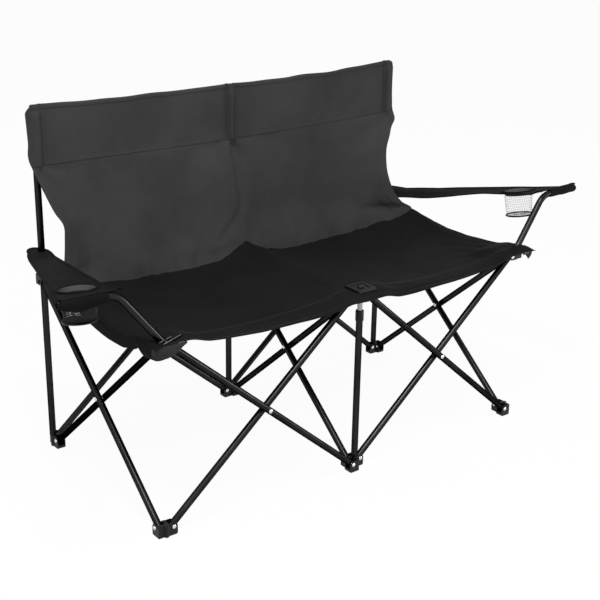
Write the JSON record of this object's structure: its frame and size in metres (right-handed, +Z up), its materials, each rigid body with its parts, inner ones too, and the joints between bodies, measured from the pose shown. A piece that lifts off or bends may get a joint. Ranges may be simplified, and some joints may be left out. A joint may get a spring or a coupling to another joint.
{
  "type": "folding camping loveseat",
  "caption": "Folding two-person camping chair: crossed steel tube legs on plastic feet and sliding hubs, fabric seat and back on upright posts, and fabric armrests with net cup holders.",
  "frame": {"origin": "on the floor, midway between the front and back feet, under the middle of the seat", "axes": "+X to the viewer's right facing the seat, +Y towards the back, +Z up"},
  "size_m": [1.5046, 0.5967, 0.8518],
  "materials": {
    "black_tube": "gloss black powder coat",
    "black_plastic": "moulded satin black",
    "bright_steel": "bright zinc plate",
    "seat_fabric": "coated black polyester weave",
    "back_fabric": "coated charcoal polyester weave",
    "grey_net": "open pale grey net"
  },
  "bodies": {
    "back_centre": {"back_centre_foot": "black_plastic", "back_centre_post": "black_tube", "back_centre_post_cap": "black_plastic", "back_panel": "back_fabric"},
    "middle_falling_leg": {"middle_falling_leg": "black_tube", "middle_cross_rivet": "bright_steel"},
    "middle_rising_leg": {"middle_rising_leg": "black_tube"},
    "front_centre_foot": {"front_centre_foot": "black_plastic", "front_post_sleeve": "black_tube"},
    "back_centre_slider": {"back_centre_slider": "black_plastic"},
    "front_centre_hub": {"front_centre_hub": "black_plastic", "front_post_rod": "bright_steel", "seat_clamp_plate": "black_plastic", "clamp_bolt": "bright_steel"},
    "left_arm_leg": {"left_arm_leg": "black_tube", "front_left_cross_rivet": "bright_steel", "left_armrest": "seat_fabric", "left_cup_rim": "seat_fabric", "left_cup_net": "grey_net", "left_cup_ring": "black_plastic"},
    "front_left_rising_leg": {"front_left_rising_leg": "black_tube"},
    "right_arm_leg": {"right_arm_leg": "black_tube", "front_right_cross_rivet": "bright_steel", "right_armrest": "seat_fabric", "right_cup_rim": "seat_fabric", "right_cup_net": "grey_net", "right_cup_ring": "black_plastic"},
    "front_right_falling_leg": {"front_right_falling_leg": "black_tube"},
    "back_left_falling_leg": {"back_left_falling_leg": "black_tube", "back_left_cross_rivet": "bright_steel"},
    "back_left_rising_leg": {"back_left_rising_leg": "black_tube"},
    "back_left_foot": {"back_left_foot": "black_plastic", "back_left_post": "black_tube", "back_left_post_cap": "black_plastic"},
    "back_left_slider": {"back_left_slider": "black_plastic"},
    "back_right_rising_leg": {"back_right_rising_leg": "black_tube", "back_right_cross_rivet": "bright_steel"},
    "back_right_falling_leg": {"back_right_falling_leg": "black_tube"},
    "back_right_foot": {"back_right_foot": "black_plastic", "back_right_post": "black_tube", "back_right_post_cap": "black_plastic"},
    "back_right_slider": {"back_right_slider": "black_plastic"},
    "left_side_falling_leg": {"left_side_falling_leg": "black_tube", "left_side_cross_rivet": "bright_steel"},
    "left_side_rising_leg": {"left_side_rising_leg": "black_tube"},
    "front_left_foot": {"front_left_foot": "black_plastic"},
    "front_left_hub": {"front_left_hub": "black_plastic", "left_corner_pocket": "seat_fabric"},
    "right_side_falling_leg": {"right_side_falling_leg": "black_tube", "right_side_cross_rivet": "bright_steel"},
    "right_side_rising_leg": {"right_side_rising_leg": "black_tube"},
    "front_right_foot": {"front_right_foot": "black_plastic"},
    "front_right_hub": {"front_right_hub": "black_plastic", "right_corner_pocket": "seat_fabric"},
    "seat_front": {"seat_front_panel": "seat_fabric"},
    "seat_rear": {"seat_rear_panel": "seat_fabric"}
  },
  "joints": [
    {"name": "fold", "type": "hinge", "parent": "back_centre", "child": "middle_falling_leg", "pos_m": [0.0084, 0.247, 0.02], "axis": [-1, 0, 0], "range_deg": [0, 46.4], "deforming": ["seat_front_panel", "seat_rear_panel", "back_panel", "left_armrest", "left_cup_rim", "left_cup_net", "left_cup_ring", "right_armrest", "right_cup_rim", "right_cup_net", "right_cup_ring"]},
    {"name": "middle_crossing", "type": "hinge", "parent": "middle_falling_leg", "child": "middle_rising_leg", "pos_m": [0, 0, 0.23], "axis": [1, 0, 0], "range_deg": [0, 93.5]},
    {"name": "front_centre_foot_pivot", "type": "hinge", "parent": "middle_rising_leg", "child": "front_centre_foot", "pos_m": [-0.0084, -0.247, 0.02], "axis": [1, 0, 0], "range_deg": [-47, 0]},
    {"name": "back_centre_slider_pivot", "type": "hinge", "parent": "middle_rising_leg", "child": "back_centre_slider", "pos_m": [-0.0084, 0.247, 0.44], "axis": [1, 0, 0], "range_deg": [-47, 0]},
    {"name": "front_centre_hub_pivot", "type": "hinge", "parent": "middle_falling_leg", "child": "front_centre_hub", "pos_m": [0.0084, -0.247, 0.44], "axis": [1, 0, 0], "range_deg": [0, 47]},
    {"name": "left_arm_leg_pivot", "type": "hinge", "parent": "front_centre_foot", "child": "left_arm_leg", "pos_m": [-0.018, -0.2734, 0.02], "axis": [0, 1, 0], "range_deg": [0, 47]},
    {"name": "front_left_crossing", "type": "hinge", "parent": "left_arm_leg", "child": "front_left_rising_leg", "pos_m": [-0.265, -0.265, 0.23], "axis": [0, 1, 0], "range_deg": [-93.5, 0]},
    {"name": "right_arm_leg_pivot", "type": "hinge", "parent": "front_centre_foot", "child": "right_arm_leg", "pos_m": [0.018, -0.2566, 0.02], "axis": [0, 1, 0], "range_deg": [-47, 0]},
    {"name": "front_right_crossing", "type": "hinge", "parent": "right_arm_leg", "child": "front_right_falling_leg", "pos_m": [0.265, -0.265, 0.23], "axis": [0, 1, 0], "range_deg": [0, 93.5]},
    {"name": "back_left_leg_pivot", "type": "hinge", "parent": "back_centre", "child": "back_left_falling_leg", "pos_m": [-0.018, 0.2566, 0.02], "axis": [0, 1, 0], "range_deg": [0, 47]},
    {"name": "back_left_crossing", "type": "hinge", "parent": "back_left_falling_leg", "child": "back_left_rising_leg", "pos_m": [-0.265, 0.265, 0.23], "axis": [0, 1, 0], "range_deg": [-93.5, 0]},
    {"name": "back_left_foot_pivot", "type": "hinge", "parent": "back_left_rising_leg", "child": "back_left_foot", "pos_m": [-0.512, 0.2734, 0.02], "axis": [0, 1, 0], "range_deg": [0, 47]},
    {"name": "back_left_slider_pivot", "type": "hinge", "parent": "back_left_falling_leg", "child": "back_left_slider", "pos_m": [-0.512, 0.2566, 0.44], "axis": [0, 1, 0], "range_deg": [-47, 0]},
    {"name": "back_right_leg_pivot", "type": "hinge", "parent": "back_centre", "child": "back_right_rising_leg", "pos_m": [0.018, 0.2734, 0.02], "axis": [0, 1, 0], "range_deg": [-47, 0]},
    {"name": "back_right_crossing", "type": "hinge", "parent": "back_right_rising_leg", "child": "back_right_falling_leg", "pos_m": [0.265, 0.265, 0.23], "axis": [0, 1, 0], "range_deg": [0, 93.5]},
    {"name": "back_right_foot_pivot", "type": "hinge", "parent": "back_right_falling_leg", "child": "back_right_foot", "pos_m": [0.512, 0.2566, 0.02], "axis": [0, 1, 0], "range_deg": [-47, 0]},
    {"name": "back_right_slider_pivot", "type": "hinge", "parent": "back_right_rising_leg", "child": "back_right_slider", "pos_m": [0.512, 0.2734, 0.44], "axis": [0, 1, 0], "range_deg": [0, 47]},
    {"name": "left_side_leg_pivot", "type": "hinge", "parent": "back_left_foot", "child": "left_side_falling_leg", "pos_m": [-0.5216, 0.247, 0.02], "axis": [1, 0, 0], "range_deg": [-47, 0]},
    {"name": "left_side_crossing", "type": "hinge", "parent": "left_side_falling_leg", "child": "left_side_rising_leg", "pos_m": [-0.53, 0, 0.23], "axis": [1, 0, 0], "range_deg": [0, 93.5]},
    {"name": "front_left_foot_pivot", "type": "hinge", "parent": "left_side_rising_leg", "child": "front_left_foot", "pos_m": [-0.5384, -0.247, 0.02], "axis": [1, 0, 0], "range_deg": [-47, 0]},
    {"name": "front_left_hub_pivot", "type": "hinge", "parent": "left_side_falling_leg", "child": "front_left_hub", "pos_m": [-0.5216, -0.247, 0.44], "axis": [1, 0, 0], "range_deg": [0, 47]},
    {"name": "right_side_leg_pivot", "type": "hinge", "parent": "back_right_foot", "child": "right_side_falling_leg", "pos_m": [0.5384, 0.247, 0.02], "axis": [1, 0, 0], "range_deg": [-47, 0]},
    {"name": "right_side_crossing", "type": "hinge", "parent": "right_side_falling_leg", "child": "right_side_rising_leg", "pos_m": [0.53, 0, 0.23], "axis": [1, 0, 0], "range_deg": [0, 93.5]},
    {"name": "front_right_foot_pivot", "type": "hinge", "parent": "right_side_rising_leg", "child": "front_right_foot", "pos_m": [0.5216, -0.247, 0.02], "axis": [1, 0, 0], "range_deg": [-47, 0]},
    {"name": "front_right_hub_pivot", "type": "hinge", "parent": "right_side_falling_leg", "child": "front_right_hub", "pos_m": [0.5384, -0.247, 0.44], "axis": [1, 0, 0], "range_deg": [0, 47]},
    {"name": "seat_front_fold", "type": "hinge", "parent": "front_centre_hub", "child": "seat_front", "pos_m": [0, -0.293, 0.457], "axis": [1, 0, 0], "range_deg": [-93.5, 0]},
    {"name": "seat_rear_fold", "type": "hinge", "parent": "back_centre", "child": "seat_rear", "pos_m": [0, 0.184, 0.44], "axis": [1, 0, 0], "range_deg": [0, 70]}
  ],
  "couplings": [
    {"joint": "middle_crossing", "follows": "fold", "ratio": 2},
    {"joint": "front_centre_foot_pivot", "follows": "fold", "ratio": -1},
    {"joint": "back_centre_slider_pivot", "follows": "fold", "ratio": -1},
    {"joint": "front_centre_hub_pivot", "follows": "fold", "ratio": 1},
    {"joint": "left_arm_leg_pivot", "follows": "fold", "ratio": 1},
    {"joint": "front_left_crossing", "follows": "fold", "ratio": -2},
    {"joint": "right_arm_leg_pivot", "follows": "fold", "ratio": -1},
    {"joint": "front_right_crossing", "follows": "fold", "ratio": 2},
    {"joint": "back_left_leg_pivot", "follows": "fold", "ratio": 1},
    {"joint": "back_left_crossing", "follows": "fold", "ratio": -2},
    {"joint": "back_left_foot_pivot", "follows": "fold", "ratio": 1},
    {"joint": "back_left_slider_pivot", "follows": "fold", "ratio": -1},
    {"joint": "back_right_leg_pivot", "follows": "fold", "ratio": -1},
    {"joint": "back_right_crossing", "follows": "fold", "ratio": 2},
    {"joint": "back_right_foot_pivot", "follows": "fold", "ratio": -1},
    {"joint": "back_right_slider_pivot", "follows": "fold", "ratio": 1},
    {"joint": "left_side_leg_pivot", "follows": "fold", "ratio": -1},
    {"joint": "left_side_crossing", "follows": "fold", "ratio": 2},
    {"joint": "front_left_foot_pivot", "follows": "fold", "ratio": -1},
    {"joint": "front_left_hub_pivot", "follows": "fold", "ratio": 1},
    {"joint": "right_side_leg_pivot", "follows": "fold", "ratio": -1},
    {"joint": "right_side_crossing", "follows": "fold", "ratio": 2},
    {"joint": "front_right_foot_pivot", "follows": "fold", "ratio": -1},
    {"joint": "front_right_hub_pivot", "follows": "fold", "ratio": 1},
    {"joint": "seat_front_fold", "follows": "fold", "ratio": -2},
    {"joint": "seat_rear_fold", "follows": "fold", "ratio": 1.5}
  ]
}
